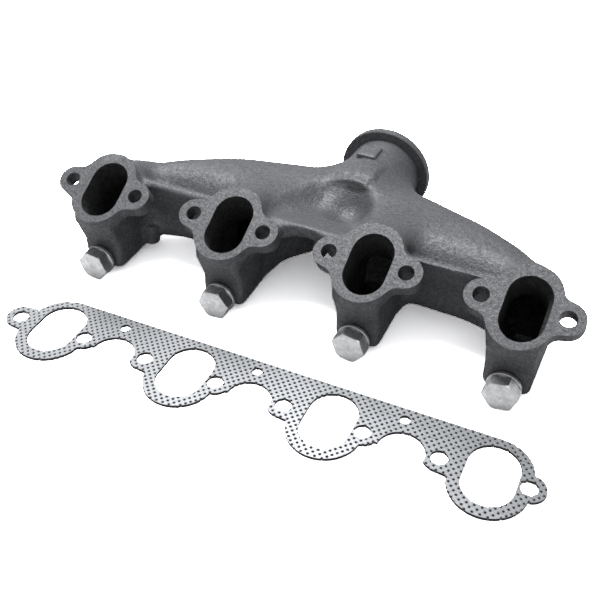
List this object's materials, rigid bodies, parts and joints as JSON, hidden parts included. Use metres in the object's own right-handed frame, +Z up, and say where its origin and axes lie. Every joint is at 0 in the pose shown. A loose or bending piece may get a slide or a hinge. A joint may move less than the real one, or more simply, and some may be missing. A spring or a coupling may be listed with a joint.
{
  "type": "exhaust manifold",
  "caption": "Cast-iron V8 exhaust manifold with flanged ports, hex plugs at the runner feet, a round outlet, and its loose perforated steel gasket.",
  "frame": {"origin": "middle of the whole part's box, on the surface it rests on", "axes": "+X along the row of ports from port 1 to port 4, +Y back to the outlet, +Z up"},
  "size_m": [0.4734, 0.334, 0.0958],
  "materials": {
    "cast_iron": "sand-cast, matt",
    "plug_steel": "bright plated, satin end face",
    "washer_steel": "turned, satin",
    "gasket_steel": "perforated sheet, satin",
    "graphite": "pressed graphite, matt"
  },
  "bodies": {
    "casting": {"manifold_casting": "cast_iron"},
    "washer_1": {"plug_washer_1": "washer_steel"},
    "plug_1": {"air_port_plug_1": "plug_steel"},
    "washer_2": {"plug_washer_2": "washer_steel"},
    "plug_2": {"air_port_plug_2": "plug_steel"},
    "washer_3": {"plug_washer_3": "washer_steel"},
    "plug_3": {"air_port_plug_3": "plug_steel"},
    "washer_4": {"plug_washer_4": "washer_steel"},
    "plug_4": {"air_port_plug_4": "plug_steel"},
    "gasket": {"gasket_bottom_skin": "gasket_steel", "gasket_core": "graphite", "gasket_top_skin": "gasket_steel"}
  },
  "joints": [
    {"name": "plug_1_draw", "type": "slide", "parent": "casting", "child": "washer_1", "axis": [0, -1, 0], "range_m": [0, 0.015]},
    {"name": "plug_1_turn", "type": "hinge", "parent": "washer_1", "child": "plug_1", "pos_m": [-0.19082, -0.04403, 0.014], "axis": [0, -1, 0], "range_deg": [0, 3600]},
    {"name": "plug_2_draw", "type": "slide", "parent": "casting", "child": "washer_2", "axis": [0, -1, 0], "range_m": [0, 0.015]},
    {"name": "plug_2_turn", "type": "hinge", "parent": "washer_2", "child": "plug_2", "pos_m": [-0.06636, -0.04403, 0.014], "axis": [0, -1, 0], "range_deg": [0, 3600]},
    {"name": "plug_3_draw", "type": "slide", "parent": "casting", "child": "washer_3", "axis": [0, -1, 0], "range_m": [0, 0.015]},
    {"name": "plug_3_turn", "type": "hinge", "parent": "washer_3", "child": "plug_3", "pos_m": [0.0581, -0.04403, 0.014], "axis": [0, -1, 0], "range_deg": [0, 3600]},
    {"name": "plug_4_draw", "type": "slide", "parent": "casting", "child": "washer_4", "axis": [0, -1, 0], "range_m": [0, 0.015]},
    {"name": "plug_4_turn", "type": "hinge", "parent": "washer_4", "child": "plug_4", "pos_m": [0.18256, -0.04403, 0.014], "axis": [0, -1, 0], "range_deg": [0, 3600]},
    {"name": "gasket_lift", "type": "slide", "parent": "casting", "child": "gasket", "axis": [0, 0, 1], "range_m": [0, 0.12]}
  ],
  "couplings": [
    {"joint": "plug_1_turn", "follows": "plug_1_draw", "rad_per_m": 4188.8},
    {"joint": "plug_2_turn", "follows": "plug_2_draw", "rad_per_m": 4188.8},
    {"joint": "plug_3_turn", "follows": "plug_3_draw", "rad_per_m": 4188.8},
    {"joint": "plug_4_turn", "follows": "plug_4_draw", "rad_per_m": 4188.8}
  ]
}
